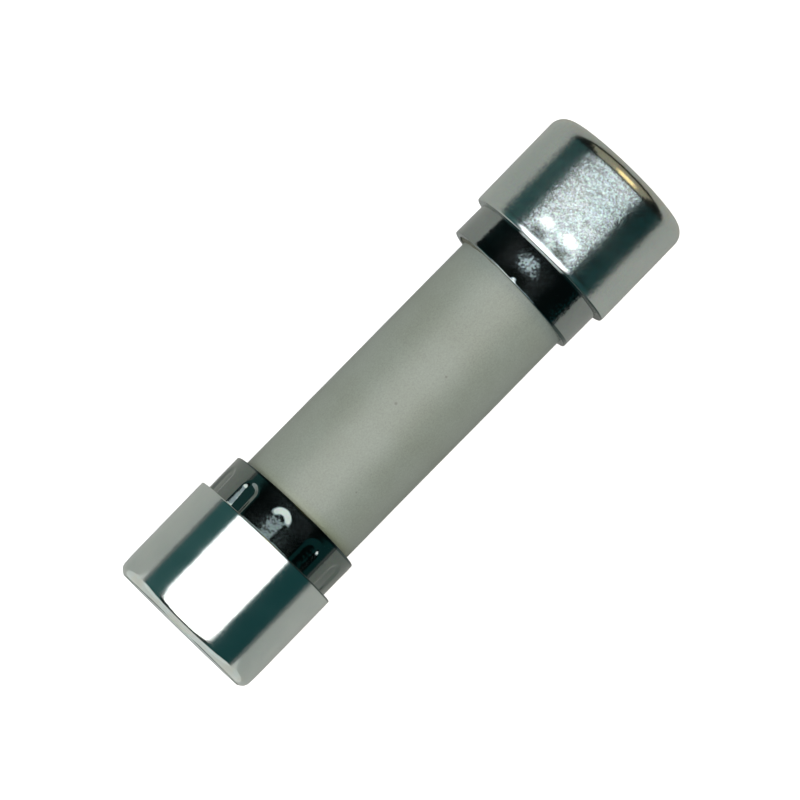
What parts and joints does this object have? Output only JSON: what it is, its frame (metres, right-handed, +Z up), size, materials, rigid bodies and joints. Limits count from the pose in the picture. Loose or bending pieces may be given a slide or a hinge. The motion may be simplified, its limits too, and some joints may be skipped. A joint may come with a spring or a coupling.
{
  "type": "cartridge fuse",
  "caption": "Miniature ceramic cartridge fuse: a slim insulating tube, sand filled round a wound element, with a stepped double metal cap on each end for spring clips.",
  "frame": {"origin": "centre of the fuse, on its axis, midway between the two end faces", "axes": "+X along the fuse's axis towards the right cap, which has no staking grooves; the fuse lies on its side with +Z up"},
  "size_m": [0.0196, 0.0052, 0.0052],
  "materials": {
    "fired_ceramic": "matte",
    "nickel_plated_brass_outer": "polished",
    "nickel_plated_brass_inner": "polished",
    "cement": "matte",
    "fibre_board": "matte",
    "glass_fibre": "matte",
    "silvered_copper_wire": "gloss",
    "tin": "satin",
    "quartz_sand": "matte"
  },
  "bodies": {
    "root": {"ceramic_tube": "fired_ceramic", "outer_cap_left": "nickel_plated_brass_outer", "outer_cap_right": "nickel_plated_brass_outer", "inner_cap_left": "nickel_plated_brass_inner", "inner_cap_right": "nickel_plated_brass_inner", "cement_left": "cement", "cement_right": "cement", "sand_washer_left": "fibre_board", "sand_washer_right": "fibre_board", "element_core": "glass_fibre", "element_wire": "silvered_copper_wire", "tin_spot": "tin", "solder_left": "tin", "solder_right": "tin", "sand_filling": "quartz_sand"}
  },
  "joints": []
}
